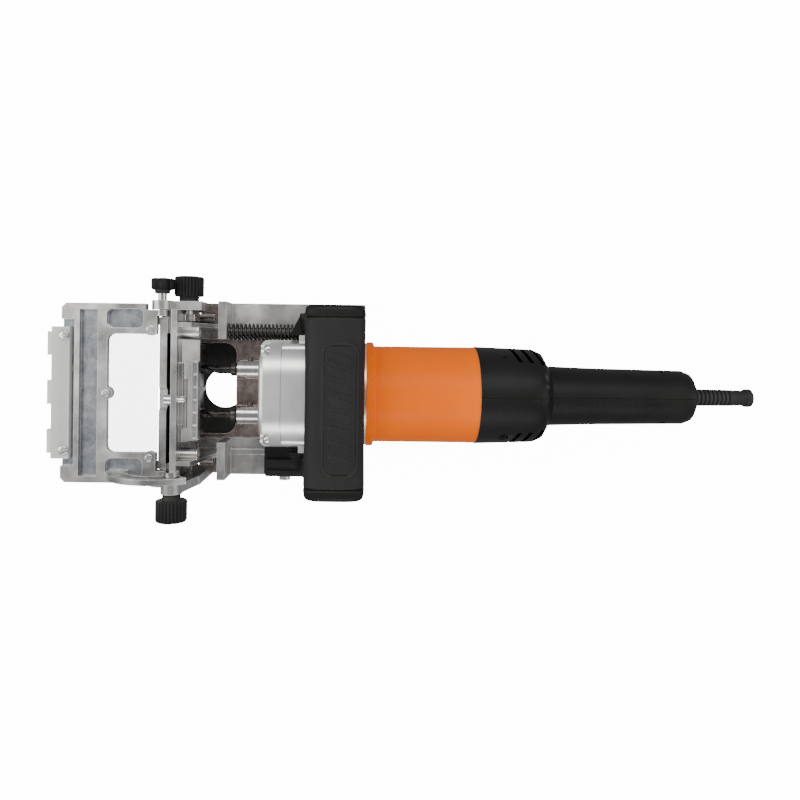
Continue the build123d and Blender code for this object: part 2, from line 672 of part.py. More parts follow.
with BuildPart() as slide_shoe:
    block(shoe_front, shoe_rear, -54, -39, ledge_top + gap, 20)
    block(shoe_front - 1, shoe_rear + 1, ridge_y - ridge_width / 2 - gap, ridge_y + ridge_width / 2 + gap,
          ledge_top, ledge_top + 2 + gap, mode=Mode.SUBTRACT)
save(slide_shoe.part, "slide_shoe")

spring_front = post_rear + 0.2
spring_rear = lug_front - 0.2
with BuildPart() as return_spring:
    turn([(spring_front, 4.85), (spring_front, 6.4), (spring_rear, 6.4), (spring_rear, 4.85)], rod_y, rod_z)
save(return_spring.part, "return_spring")

# ---------------------------------------------------------------- bow handle
leg_inner = 44.0
leg_outer = 56.0
foot_bottom = 38.0
with BuildPart() as handle_frame:
    for s in (1, -1):
        low, high = sorted((s * leg_inner, s * leg_outer))
        with BuildSketch(Plane(origin=(0, high, 0), x_dir=(1, 0, 0), z_dir=(0, -1, 0))) as leg:
            with BuildLine():
                Polyline((96, foot_bottom + 3), (100, foot_bottom), (134, foot_bottom), (136, 60), (138, 112),
                         (108, 112), (104, 80), (96, 58), close=True)
            make_face()
        extrude(leg.sketch, amount=high - low)
        low, high = sorted((s * 41, s * leg_inner))
        block(97, 133, low, high, foot_bottom, 60)
        with BuildSketch(Plane.XY.offset(foot_bottom)) as gusset:
            with BuildLine():
                Polyline((89.5, s * 41), (97, s * 41), (97, s * leg_outer), close=True)
            make_face()
        extrude(gusset.sketch, amount=22)
    with BuildSketch(Plane(origin=(0, -50, 0), x_dir=(1, 0, 0), z_dir=(0, 1, 0))) as core:
        with Locations((grip_x, -grip_z)):
            Ellipse(9, 7)
    extrude(core.sketch, amount=100)
    for s in (1, -1):
        low, high = sorted((s * leg_inner, s * 50))
        block(grip_x - 7, grip_x + 7, low, high, 110, 119)
    for s in (1, -1):
        for x in (103, 125):
            round_y(min(s * 40, s * 60), max(s * 40, s * 60), x, 50, 2 + running, mode=Mode.SUBTRACT)
            round_y(min(s * 52, s * 60), max(s * 52, s * 60), x, 50, 4, mode=Mode.SUBTRACT)
save(handle_frame.part, "handle_frame")

grip_outer = (18.5, 14.0)
with BuildPart() as handle_grip:
    with BuildSketch(Plane(origin=(0, -cap_inner, 0), x_dir=(1, 0, 0), z_dir=(0, 1, 0))) as grip_ring:
        with Locations((grip_x, -grip_z)):
            RectangleRounded(2 * grip_outer[0], 2 * grip_outer[1], 11)
    extrude(grip_ring.sketch, amount=2 * cap_inner)
    with BuildSketch(Plane(origin=(0, -60, 0), x_dir=(1, 0, 0), z_dir=(0, 1, 0))) as grip_bore:
        with Locations((grip_x, -grip_z)):
            Ellipse(9.1, 7.1)
    extrude(grip_bore.sketch, amount=120, mode=Mode.SUBTRACT)
    for s in (1, -1):
        low, high = sorted((s * (leg_inner - 0.2), s * 60))
        block(90, 150, low, high, 100, 112.2, mode=Mode.SUBTRACT)
        block(grip_x - 7.2, grip_x + 7.2, low, high, 112, 119.2, mode=Mode.SUBTRACT)
save(handle_grip.part, "handle_grip")

with BuildPart() as handle_end_caps:
    for s in (1, -1):
        low, high = sorted((s * (cap_inner + 0.2), s * grip_half))
        with BuildSketch(Plane(origin=(0, low, 0), x_dir=(1, 0, 0), z_dir=(0, 1, 0))) as cap:
            with Locations((grip_x, -grip_z)):
                RectangleRounded(2 * grip_outer[0], 2 * grip_outer[1], 11)
        extrude(cap.sketch, amount=high - low)
        block(90, 150, low - 1, high + 1, 100, 112.2, mode=Mode.SUBTRACT)
save(handle_end_caps.part, "handle_end_caps")

with BuildPart() as handle_screws:
    for s in (1, -1):
        for x in (103, 125):
            low, high = sorted((s * 52, s * 55.5))
            round_y(low, high, x, 50, 3.6)
            low, high = sorted((s * 38.2, s * 52))
            round_y(low, high, x, 50, 2)
save(handle_screws.part, "handle_screws")

# ---------------------------------------------------------------- spindles
gear_phase = 360 / pinion_teeth / 2
for side, y in spindle_ys.items():
    with BuildPart() as spindle_sleeve:
        round_x(neck_front, sleeve_front, y, axis_z, neck_radius)
        round_x(sleeve_front, 75.8, y, axis_z, sleeve_radius)
        round_x(75.8, gear_front - 0.3, y, axis_z, journal_radius - running)
        round_x(gear_front - 0.3, wall_rear - 3, y, axis_z, 3 - running)
        chamfer(spindle_sleeve.edges().filter_by(GeomType.CIRCLE).sort_by(Axis.X)[0], 0.6)
        round_x(neck_front - 1, 72, y, axis_z, bit_radius + running, mode=Mode.SUBTRACT)
        round_y(y, y + 12, set_screw_x, axis_z, 2 + running, mode=Mode.SUBTRACT)
    save(spindle_sleeve.part, f"spindle_sleeve_{side}")

    with BuildPart() as spindle_gear:
        mesh_angle = 180 if y > 0 else 0
        gear_on_x(spindle_teeth, mesh_angle, y, 3)
    save(spindle_gear.part, f"spindle_gear_{side}")

    with BuildPart() as drill_bit:
        turn([(bit_tip_x, 0), (bit_tip_x + 2.2, bit_radius), (71.5, bit_radius), (71.5, 0)], y)
        for flute in (1, -1):
            round_x(bit_tip_x - 1, 40, y, axis_z + flute * 3.4, 1.9, mode=Mode.SUBTRACT)
    save(drill_bit.part, f"drill_bit_{side}")

    with BuildPart() as set_screw:
        round_y(y + bit_radius + 0.1, y + sleeve_radius + 1.8, set_screw_x, axis_z, 2)
    save(set_screw.part, f"set_screw_{side}")

with BuildPart() as spindle_bearings:
    for y in spindle_ys.values():
        turn([(76.2, journal_radius), (76.2, front_bearing_radius), (84.2, front_bearing_radius),
              (84.2, journal_radius)], y)
        turn([(wall_front + 1, 3), (wall_front + 1, rear_bearing_radius),
              (wall_rear - 2.2, rear_bearing_radius), (wall_rear - 2.2, 3)], y)
save(spindle_bearings.part, "spindle_bearings")

# ---------------------------------------------------------------- motor
core_front = 155.0
core_rear = 202.0
with BuildPart() as armature_shaft:
    with BuildSketch(Plane(origin=(gear_front, 0, axis_z), x_dir=(0, 1, 0), z_dir=(1, 0, 0))) as pinion:
        with BuildLine():
            Polyline(*gear_outline(pinion_teeth, gear_module, gear_phase), close=True)
        make_face()
    extrude(pinion.sketch, amount=gear_rear - gear_front)
    round_x(gear_rear, 238, 0, axis_z, shaft_radius - running)
save(armature_shaft.part, "armature_shaft")

with BuildPart() as armature_core:
    with BuildSketch(Plane(origin=(core_front, 0, axis_z), x_dir=(0, 1, 0), z_dir=(1, 0, 0))) as lamination:
        Circle(19)
        Circle(shaft_radius, mode=Mode.SUBTRACT)
        with PolarLocations(17.5, 12):
            Rectangle(6, 2.4, mode=Mode.SUBTRACT)
    extrude(lamination.sketch, amount=core_rear - core_front)
save(armature_core.part, "armature_core")

with BuildPart() as commutator:
    turn([(208, shaft_radius), (208, 12), (224, 12), (224, shaft_radius)])
save(commutator.part, "commutator")

with BuildPart() as fan:
    turn([(132, shaft_radius), (132, 28), (134, 28), (134, 8), (140, 8), (140, shaft_radius)])
    with Locations(Location((129.5, 0, axis_z), (0, 90, 0))):
        with PolarLocations(19, 9):
            Box(15, 1.6, 5)
save(fan.part, "fan")

with BuildPart() as motor_bearings:
    turn([(wall_front + 0.2, shaft_radius), (wall_front + 0.2, motor_bearing_radius),
          (wall_rear - 2.2, motor_bearing_radius), (wall_rear - 2.2, shaft_radius)])
    turn([(229, shaft_radius), (229, 9.5), (236, 9.5), (236, shaft_radius)])
save(motor_bearings.part, "motor_bearings")

with BuildPart() as stator_core:
    turn([(core_front, 20.5), (core_front, 30.7), (core_rear, 30.7), (core_rear, 20.5)])
save(stator_core.part, "stator_core")

with BuildPart() as field_coils:
    for x0, x1 in ((core_front - 8, core_front), (core_rear, core_rear + 5)):
        turn([(x0, 21.5), (x0, 28.5), (x1, 28.5), (x1, 21.5)])
save(field_coils.part, "field_coils")

with BuildPart() as motor_housing:
    turn([(housing_rear, 29.5), (housing_rear, 36.9), (147.5, 36.9), (148.5, tube_radius),
          (tube_rear, tube_radius), (tube_rear, tube_bore), (150, tube_bore), (150, 29.5)])
save(motor_housing.part, "motor_housing")

with BuildPart() as brush_holders:
    for s in (1, -1):
        low, high = sorted((s * 13, s * 26))
        block(211, 221, low, high, axis_z - 5.5, axis_z + 5.5)
        block(213, 219, low - 1, high + 1, axis_z - 3.5, axis_z + 3.5, mode=Mode.SUBTRACT)
save(brush_holders.part, "brush_holders")

with BuildPart() as brushes:
    for s in (1, -1):
        low, high = sorted((s * 12.2, s * 23))
        block(213.1, 218.9, low, high, axis_z - 3.4, axis_z + 3.4)
save(brushes.part, "brushes")

# ---------------------------------------------------------------- rear handle
switch_front = 292.0
switch_rear = 318.0
vent_xs = (244.0, 251.5, 259.0)
shell_screw_places = [(237.5, 64.0), (351.5, 51.0)]
shell_outside = [(tube_rear, 34.5), (260.5, 33), (266, 30.5), (271.5, 21.2), (300, 20.2), (367.5, 19),
                 (372, 17.2), (shell_rear, 13)]
shell_inside = [(shell_rear - 4, 6.4), (shell_rear - 4, 14.5), (366, 16), (271.5, 18.2), (262, 29)]


def rear_shell(s):
    """One half of the rear clamshell: s is 1 for the right half and -1 for the left."""
    turn([(tube_rear, 31.5)] + shell_outside + [(shell_rear, 6.4)] + shell_inside)
    turn([(228.8, 9.6), (228.8, 31), (236.2, 31), (236.2, 9.6)])
    for x, z in shell_screw_places:
        depth = 25 if x < 260 else 16
        round_y(-depth, depth, x, z, 4)
    low, high = sorted((s * 0.1, -s * 50))
    block(tube_rear - 1, shell_rear + 1, low, high, -10, 100, mode=Mode.SUBTRACT)
    for x in vent_xs:
        with Locations(Location((x, s * 34, axis_z + 12), (0, 0, s * 115))):
            Box(26, 2.4, 22, mode=Mode.SUBTRACT)
    block(switch_front, switch_rear, -7, 7, 20, axis_z - 15, mode=Mode.SUBTRACT)
    for x, z in shell_screw_places:
        round_y(-60, 60, x, z, 1.75 + running, mode=Mode.SUBTRACT)
        if s < 0:
            round_y(-60, -15 if x < 260 else -10, x, z, 3.5, mode=Mode.SUBTRACT)


for side, s in (("right", 1), ("left", -1)):
    with BuildPart() as shell_half:
        rear_shell(s)
    save(shell_half.part, f"rear_shell_{side}")

with BuildPart() as rear_shell_screws:
    for (x, z), head, tip in zip(shell_screw_places, (-15, -10), (14, 12)):
        round_y(head - 2.5, head, x, z, 3.2)
        round_y(head, tip, x, z, 1.75)
save(rear_shell_screws.part, "rear_shell_screws")

with BuildPart() as switch_body:
    block(296, 316, -8, 8, axis_z - 10, axis_z + 8)
save(switch_body.part, "switch_body")

with BuildPart() as switch_slider:
    block(300, 310, -6.6, 6.6, axis_z - 23.2, axis_z - 14)
    for i in range(4):
        block(301.2 + 2.3 * i, 302.2 + 2.3 * i, -6, 6, axis_z - 24, axis_z - 23.2)
save(switch_slider.part, "switch_slider")

with BuildPart() as cable_boot:
    turn([(367.5, 3.75), (367.5, 9), (370.3, 9), (370.3, 6.2), (413, 5.5), (414, 6.5), (boot_rear, 6.5),
          (boot_rear, 3.75)])
save(cable_boot.part, "cable_boot")
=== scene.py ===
import json
import math
import random

import bmesh
import bpy
from mathutils import Matrix, Vector


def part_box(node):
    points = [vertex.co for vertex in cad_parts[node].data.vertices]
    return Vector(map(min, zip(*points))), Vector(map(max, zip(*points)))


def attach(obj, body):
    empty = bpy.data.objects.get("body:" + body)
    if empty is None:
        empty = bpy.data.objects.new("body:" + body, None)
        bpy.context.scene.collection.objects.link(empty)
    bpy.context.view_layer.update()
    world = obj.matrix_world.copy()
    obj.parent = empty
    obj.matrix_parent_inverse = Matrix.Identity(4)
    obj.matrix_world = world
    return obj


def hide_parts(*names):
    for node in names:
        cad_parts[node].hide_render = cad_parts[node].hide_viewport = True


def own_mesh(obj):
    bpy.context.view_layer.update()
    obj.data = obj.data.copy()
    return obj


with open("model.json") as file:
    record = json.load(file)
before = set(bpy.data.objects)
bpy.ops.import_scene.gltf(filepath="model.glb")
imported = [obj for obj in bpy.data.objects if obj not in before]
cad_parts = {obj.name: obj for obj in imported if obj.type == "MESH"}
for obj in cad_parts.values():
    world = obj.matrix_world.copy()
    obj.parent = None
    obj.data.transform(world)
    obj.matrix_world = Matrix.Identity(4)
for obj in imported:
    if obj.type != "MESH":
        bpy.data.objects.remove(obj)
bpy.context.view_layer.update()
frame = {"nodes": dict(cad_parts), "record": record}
MM = 0.001
random.seed(7)
# The drilling face is 11 mm ahead of the front plate.
DRILLING_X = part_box("front_plate")[0].x - 11 * MM


# ---------------------------------------------------------------- camera, floor and light
CAMERA_HEIGHT = 545 * MM
CAMERA_X = DRILLING_X + 136 * MM
CAMERA_Y = 34.8 * MM
LENS_MM = 31.4
SENSOR_MM = 36
SHIFT = (0.054, -0.069)
ROLL_DEG = 0.7


def link(obj):
    bpy.context.scene.collection.objects.link(obj)
    return obj


def make_camera():
    data = bpy.data.cameras.new("camera")
    data.lens = LENS_MM
    data.sensor_width = SENSOR_MM
    data.shift_x, data.shift_y = SHIFT
    data.clip_start = 0.01
    camera = link(bpy.data.objects.new("camera", data))
    camera.location = (CAMERA_X, CAMERA_Y, CAMERA_HEIGHT)
    camera.rotation_euler = (0, 0, math.radians(ROLL_DEG))
    bpy.context.scene.camera = camera


def area_light(name, place, target, size, watts):
    """A rectangular soft box at place, turned towards target."""
    data = bpy.data.lights.new(name, "AREA")
    data.shape = "RECTANGLE"
    data.size, data.size_y = size
    data.energy = watts
    lamp = link(bpy.data.objects.new(name, data))
    lamp.location = place
    lamp.rotation_euler = (Vector(target) - Vector(place)).to_track_quat("-Z", "Y").to_euler()


def make_lights():
    middle = (CAMERA_X, 0, 0.03)
    area_light("key", (CAMERA_X, 0.75, 1.15), middle, (1.3, 0.5), 13)
    area_light("fill", (CAMERA_X, -0.9, 0.8), middle, (1.2, 0.4), 7.5)
    area_light("front", (CAMERA_X - 0.95, 0.1, 0.7), middle, (0.5, 0.9), 5.5)
    area_light("rear", (CAMERA_X + 1.05, 0.0, 0.7), middle, (0.5, 0.9), 4)


def make_world():
    world = bpy.data.worlds.new("studio")
    bpy.context.scene.world = world
    world.use_nodes = True
    background = world.node_tree.nodes["Background"]
    background.inputs["Color"].default_value = (0.93, 0.95, 1.0, 1)
    background.inputs["Strength"].default_value = 0.42


# ---------------------------------------------------------------- material kit
class Shader:
    """A node material being put together."""

    def __init__(self, name):
        self.material = bpy.data.materials.new(name)
        self.material.use_nodes = True
        self.tree = self.material.node_tree
        self.surface = self.tree.nodes["Principled BSDF"]
        self.place = self.node("ShaderNodeTexCoord").outputs["Object"]

    def node(self, kind, **settings):
        made = self.tree.nodes.new(kind)
        for key, value in settings.items():
            setattr(made, key, value)
        return made

    def join(self, source, target):
        self.tree.links.new(source, target)

    def stretched(self, scale):
        mapping = self.node("ShaderNodeMapping")
        mapping.inputs["Scale"].default_value = scale
        self.join(self.place, mapping.inputs["Vector"])
        return mapping.outputs["Vector"]

    def noise(self, scale, detail=4.0, roughness=0.55, stretch=None):
        made = self.node("ShaderNodeTexNoise")
        made.inputs["Scale"].default_value = scale
        made.inputs["Detail"].default_value = detail
        made.inputs["Roughness"].default_value = roughness
        self.join(self.stretched(stretch) if stretch else self.place, made.inputs["Vector"])
        return made.outputs["Fac"]

    def cells(self, scale, stretch=None):
        made = self.node("ShaderNodeTexVoronoi")
        made.inputs["Scale"].default_value = scale
        self.join(self.stretched(stretch) if stretch else self.place, made.inputs["Vector"])
        return made.outputs["Distance"]

    def ramp(self, source, stops):
        made = self.node("ShaderNodeValToRGB")
        elements = made.color_ramp.elements
        elements[0].position, elements[0].color = stops[0][0], (*stops[0][1], 1)
        elements[1].position, elements[1].color = stops[-1][0], (*stops[-1][1], 1)
        for position, colour in stops[1:-1]:
            elements.new(position).color = (*colour, 1)
        self.join(source, made.inputs["Fac"])
        return made.outputs["Color"]

    def span(self, source, low, high, start=0.0, end=1.0):
        made = self.node("ShaderNodeMapRange")
        made.inputs["From Min"].default_value = start
        made.inputs["From Max"].default_value = end
        made.inputs["To Min"].default_value = low
        made.inputs["To Max"].default_value = high
        self.join(source, made.inputs["Value"])
        return made.outputs["Result"]

    def mix(self, factor, first, second, blend="MIX"):
        made = self.node("ShaderNodeMix", data_type="RGBA", blend_type=blend)
        if isinstance(factor, float):
            made.inputs["Factor"].default_value = factor
        else:
            self.join(factor, made.inputs["Factor"])
        for value, socket in ((first, made.inputs["A"]), (second, made.inputs["B"])):
            if isinstance(value, tuple):
                socket.default_value = (*value, 1)
            else:
                self.join(value, socket)
        return made.outputs["Result"]

    def edges(self, low=0.5, high=0.62):
        """Edges where the surface turns outwards, for painting lighter: painted highlight."""
        pointiness = self.node("ShaderNodeNewGeometry").outputs["Pointiness"]
        return self.span(pointiness, 0, 1, low, high)

    def rim_highlight(self, radius, bright_at=0.93):
        """Edges within the radius, painted brighter than the faces beside them: painted highlight."""
        rounded = self.node("ShaderNodeBevel", samples=4)
        rounded.inputs["Radius"].default_value = radius
        lean = self.node("ShaderNodeVectorMath", operation="DOT_PRODUCT")
        self.join(rounded.outputs["Normal"], lean.inputs[0])
        self.join(self.node("ShaderNodeNewGeometry").outputs["Normal"], lean.inputs[1])
        return self.span(lean.outputs["Value"], 1, 0, bright_at, 0.997)

    def coordinate(self, letter):
        """The object's own X, Y or Z, in metres."""
        made = self.node("ShaderNodeSeparateXYZ")
        self.join(self.place, made.inputs["Vector"])
        return made.outputs[letter]

    def product(self, first, second):
        made = self.node("ShaderNodeMath", operation="MULTIPLY")
        self.join(first, made.inputs[0])
        self.join(second, made.inputs[1])
        return made.outputs["Value"]

    def within(self, value, low, high, soft=0.0001):
        """1 where the value lies between low and high, else 0."""
        above = self.span(value, 0, 1, low - soft, low)
        below = self.span(value, 1, 0, high, high + soft)
        return self.product(above, below)

    def bump(self, height, distance, strength=1.0, below=None):
        made = self.node("ShaderNodeBump")
        made.inputs["Distance"].default_value = distance
        made.inputs["Strength"].default_value = strength
        self.join(height, made.inputs["Height"])
        if below:
            self.join(below, made.inputs["Normal"])
        return made.outputs["Normal"]

    def finish(self, colour, roughness, normal=None, **sockets):
        self.join(colour, self.surface.inputs["Base Color"])
        self.join(roughness, self.surface.inputs["Roughness"])
        if normal:
            self.join(normal, self.surface.inputs["Normal"])
        for name, value in sockets.items():
            self.surface.inputs[name.replace("_", " ")].default_value = value
        return self.material


# Darker colours painted into the hollows of castings: painted shade.
BLUE_GREY_SHADE = ((0.2, 0.22, 0.24), (0.42, 0.43, 0.44))
BROWN_GREY_SHADE = ((0.2, 0.15, 0.13), (0.42, 0.35, 0.32))
# Y span of the black band on the carrier: painted shade of the slot, partly a black liner.
LINER_AND_SHADE_Y = (-0.0485, 0.041)


def cast_aluminium(name="cast_aluminium", hollow=None, hollow_shade_colours=BLUE_GREY_SHADE, liner_and_shade_x=None):
    """Tumbled cast aluminium, with painted highlights along its edges.

    Faces below the given hollow height are painted darker and mottled in the hollow shade colours: painted
    shade in the hollows.
    The face at the given x is painted black across a band in Y: painted shade of the slot between the carrier
    and the front plate, and partly a black liner. Both are in metres.
    """
    s = Shader(name)
    cloud = s.noise(42, 6)
    blotch = s.noise(110, 5, 0.7)
    grain = s.noise(900, 3)
    pits = s.cells(1500)
    colour = s.ramp(cloud, [(0.32, (0.33, 0.325, 0.31)), (0.5, (0.52, 0.505, 0.48)),
                            (0.7, (0.8, 0.785, 0.75))])
    roughness = s.span(cloud, 0.2, 0.42)
    if hollow is not None:
        inside = s.span(s.coordinate("Z"), 1, 0, hollow, hollow + 0.0004)
        # Darker mottled colour below the hollow height: painted shade in the hollows.
        hollow_shade = s.ramp(blotch, [(0.35, hollow_shade_colours[0]), (0.65, hollow_shade_colours[1])])
        colour = s.mix(inside, colour, hollow_shade)
    # Near-white edges: painted highlight.
    colour = s.mix(s.rim_highlight(0.0008), colour, (1.0, 1.0, 0.99))
    # Black band on the carrier's face: painted shade of the slot between the carrier and the front plate, and
    # partly a black liner.
    if liner_and_shade_x is not None:
        depth = s.within(s.coordinate("X"), liner_and_shade_x - 0.0003, liner_and_shade_x + 0.0002)
        width = s.within(s.coordinate("Y"), *LINER_AND_SHADE_Y)
        colour = s.mix(s.product(depth, width), colour, (0.006, 0.006, 0.006))
    normal = s.bump(pits, 0.00006, 0.4, s.bump(grain, 0.00006, 0.5, s.bump(blotch, 0.0002, 0.25)))
    return s.finish(colour, roughness, normal, Metallic=0.93)


def gearbox_aluminium():
    """Blasted aluminium, with a dark line where the cover meets the housing."""
    s = Shader("gearbox_aluminium")
    cloud = s.noise(45, 6)
    blast = s.noise(1400, 2)
    colour = s.ramp(cloud, [(0.3, (0.66, 0.645, 0.625)), (0.7, (0.84, 0.825, 0.8))])
    # Bright edges: painted highlight.
    colour = s.mix(s.rim_highlight(0.0006), colour, (0.95, 0.95, 0.94))
    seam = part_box("gearbox_cover")[1].x
    half = 0.00012
    colour = s.mix(s.within(s.coordinate("X"), seam - half, seam + half), colour, (0.12, 0.115, 0.11))
    return s.finish(colour, s.span(blast, 0.3, 0.44), s.bump(blast, 0.00005, 0.35), Metallic=0.85)


def turned_steel():
    s = Shader("turned_steel")
    rings = s.noise(900, 2, stretch=(1, 0.02, 0.02))
    cloud = s.noise(60, 3)
    colour = s.ramp(cloud, [(0.3, (0.4, 0.37, 0.345)), (0.7, (0.58, 0.55, 0.52))])
    return s.finish(colour, s.span(rings, 0.12, 0.32), s.bump(rings, 0.00002, 0.4), Metallic=1.0)


def zinc():
    s = Shader("zinc")
    cloud = s.noise(220, 4)
    colour = s.ramp(cloud, [(0.35, (0.62, 0.61, 0.58)), (0.65, (0.86, 0.86, 0.85))])
    return s.finish(colour, s.span(cloud, 0.14, 0.34), s.bump(cloud, 0.00004, 0.3), Metallic=1.0)


def black_oxide():
    s = Shader("black_oxide")
    cloud = s.noise(180, 5)
    colour = s.ramp(cloud, [(0.35, (0.014, 0.013, 0.013)), (0.7, (0.05, 0.047, 0.045))])
    # Lighter outward edges: painted highlight.
    colour = s.mix(s.edges(0.53, 0.66), colour, (0.16, 0.15, 0.14))
    return s.finish(colour, s.span(cloud, 0.28, 0.5), s.bump(cloud, 0.00004, 0.3), Metallic=0.8)


def black_plastic():
    s = Shader("black_plastic")
    cloud = s.noise(30, 3)
    grain = s.noise(1300, 3)
    colour = s.ramp(cloud, [(0.3, (0.006, 0.006, 0.0055)), (0.7, (0.01, 0.01, 0.0092))])
    # Lighter outward edges: painted highlight.
    colour = s.mix(s.edges(0.53, 0.68), colour, (0.045, 0.045, 0.043))
    return s.finish(colour, s.span(grain, 0.36, 0.55), s.bump(grain, 0.0001, 0.35), Specular_IOR_Level=0.15)


def grip_rubber():
    s = Shader("grip_rubber")
    cloud = s.noise(26, 4)
    grain = s.noise(1000, 4)
    colour = s.ramp(cloud, [(0.3, (0.01, 0.01, 0.0095)), (0.7, (0.016, 0.016, 0.015))])
    # Lighter outward edges: painted highlight.
    colour = s.mix(s.edges(0.52, 0.66), colour, (0.055, 0.055, 0.052))
    normal = s.bump(grain, 0.00014, 0.5)
    return s.finish(colour, s.span(grain, 0.45, 0.68), normal, Specular_IOR_Level=0.22)


def orange_paint():
    s = Shader("orange_paint")
    cloud = s.noise(22, 3)
    peel = s.noise(420, 2)
    colour = s.ramp(cloud, [(0.3, (0.88, 0.14, 0.0)), (0.7, (0.95, 0.16, 0.0))])
    return s.finish(colour, s.span(cloud, 0.32, 0.4), s.bump(peel, 0.00006, 0.25), Specular_IOR_Level=0.05)


def grey_plastic():
    s = Shader("grey_plastic")
    cloud = s.noise(40, 4)
    grain = s.noise(1100, 2)
    colour = s.ramp(cloud, [(0.3, (0.46, 0.45, 0.42)), (0.7, (0.55, 0.54, 0.51))])
    # Lighter outward edges: painted highlight.
    colour = s.mix(s.edges(0.53, 0.66), colour, (0.72, 0.71, 0.69))
    return s.finish(colour, s.span(grain, 0.38, 0.55), s.bump(grain, 0.00008, 0.3))


def clear_acrylic():
    s = Shader("clear_acrylic")
    smear = s.noise(45, 4, stretch=(1, 0.3, 1))
    colour = s.ramp(smear, [(0.3, (0.62, 0.65, 0.69)), (0.7, (0.72, 0.74, 0.77))])
    return s.finish(colour, s.span(smear, 0.02, 0.12), Alpha=0.42, IOR=1.49)


def copper():
    s = Shader("copper")
    wire = s.noise(700, 3)
    colour = s.ramp(wire, [(0.3, (0.45, 0.17, 0.08)), (0.7, (0.8, 0.4, 0.22))])
    return s.finish(colour, s.span(wire, 0.25, 0.5), s.bump(wire, 0.0001, 0.4), Metallic=1.0)


def bronze():
    s = Shader("bronze")
    pores = s.cells(900)
    colour = s.ramp(pores, [(0.1, (0.3, 0.2, 0.08)), (0.6, (0.62, 0.45, 0.2))])
    return s.finish(colour, s.span(pores, 0.3, 0.5), s.bump(pores, 0.00005, 0.4), Metallic=1.0)


def laminations():
    s = Shader("laminations")
    sheets = s.noise(1800, 1, stretch=(1, 0.01, 0.01))
    colour = s.ramp(sheets, [(0.4, (0.07, 0.07, 0.07)), (0.6, (0.25, 0.25, 0.25))])
    return s.finish(colour, s.span(sheets, 0.35, 0.6), s.bump(sheets, 0.0001, 0.5), Metallic=0.9)


def carbon():
    s = Shader("carbon")
    grit = s.noise(1500, 3)
    colour = s.ramp(grit, [(0.3, (0.015, 0.015, 0.015)), (0.7, (0.05, 0.05, 0.05))])
    return s.finish(colour, s.span(grit, 0.5, 0.7), s.bump(grit, 0.00008, 0.4))


def pad_rubber():
    s = Shader("pad_rubber")
    grit = s.cells(1300)
    colour = s.ramp(grit, [(0.1, (0.02, 0.02, 0.02)), (0.6, (0.055, 0.055, 0.055))])
    return s.finish(colour, s.span(grit, 0.6, 0.8), s.bump(grit, 0.0002, 0.6))


MATERIALS = {
    "cast_aluminium": cast_aluminium(),
    "machined_steel": turned_steel(),
    "zinc_screws": zinc(),
    "black_steel": black_oxide(),
    "black_plastic": black_plastic(),
    "grip_rubber": grip_rubber(),
    "orange_paint": orange_paint(),
    "grey_plastic": grey_plastic(),
    "clear_acrylic": clear_acrylic(),
    "copper": copper(),
    "bronze": bronze(),
    "lamination_steel": laminations(),
    "carbon": carbon(),
    "pad_rubber": pad_rubber(),
}
GEARBOX = gearbox_aluminium()
# Painted shade in the hollows of the fence and base castings, and a painted black band on the carrier:
# painted shade of its slot, partly a black liner.
FENCE_CASTING = cast_aluminium("fence_aluminium", 66.9 * MM)
BASE_CASTING = cast_aluminium("base_aluminium", 5.4 * MM, BROWN_GREY_SHADE)
CARRIER = cast_aluminium("carrier_aluminium", liner_and_shade_x=DRILLING_X + 6 * MM)


def paint(obj, material):
    obj.data.materials.clear()
    obj.data.materials.append(material)


def make_floor():
    """A white studio sweep: flat under the tool and rising all round, unseen by reflections and shadows."""
    s = Shader("floor")
    cloud = s.noise(2, 2)
    colour = s.ramp(cloud, [(0.3, (0.6, 0.6, 0.6)), (0.7, (0.63, 0.63, 0.63))])
    s.surface.inputs["Emission Color"].default_value = (1, 1, 1, 1)
    material = s.finish(colour, s.span(cloud, 0.85, 0.95), Emission_Strength=14.0)
    sweep = [(0.4, 0.0), (1.4, 0.0), (1.9, 0.06), (2.3, 0.28), (2.6, 0.75), (2.75, 1.5), (2.8, 3.2)]
    sides = 96
    angles = [2 * math.pi * i / sides for i in range(sides)]
    points = [(radius * math.cos(a), radius * math.sin(a), height)
              for radius, height in sweep for a in angles]
    faces = [tuple(range(sides))]
    for inner in range(0, (len(sweep) - 1) * sides, sides):
        outer = inner + sides
        for i in range(sides):
            after = (i + 1) % sides
            faces.append((inner + i, outer + i, outer + after, inner + after))
    mesh = bpy.data.meshes.new("floor")
    mesh.from_pydata(points, [], faces)
    floor = link(bpy.data.objects.new("floor", mesh))
    floor.location = (0, 0, -0.0002)
    floor.visible_glossy = False
    floor.visible_diffuse = False
    floor.visible_shadow = False
    paint(floor, material)


# ---------------------------------------------------------------- CAD nodes
def dress_cad_nodes():
    slots = {row["node"]: row["material_slot"] for row in frame["record"]["subparts"]}
    for name, obj in frame["nodes"].items():
        paint(obj, MATERIALS[slots[name]])


def soften(node, width, segments=2, angle=35, merge_flats=False):
    """Round a CAD node's sharp edges with modifiers, as on castings and mouldings."""
    obj = frame["nodes"][node]
    weld = obj.modifiers.new("weld", "WELD")
    weld.merge_threshold = 0.000002
    if merge_flats:
        flat = obj.modifiers.new("flat", "DECIMATE")
        flat.decimate_type = "DISSOLVE"
        flat.angle_limit = math.radians(0.4)
    bevel = obj.modifiers.new("bevel", "BEVEL")
    bevel.width = width
    bevel.segments = segments
    bevel.limit_method = "ANGLE"
    bevel.angle_limit = math.radians(angle)
    bevel.use_clamp_overlap = True
    even = obj.modifiers.new("even_normals", "WEIGHTED_NORMAL")
    even.keep_sharp = True
    even.weight = 60


# ---------------------------------------------------------------- mesh kit
POINT = 0.0001 * MM


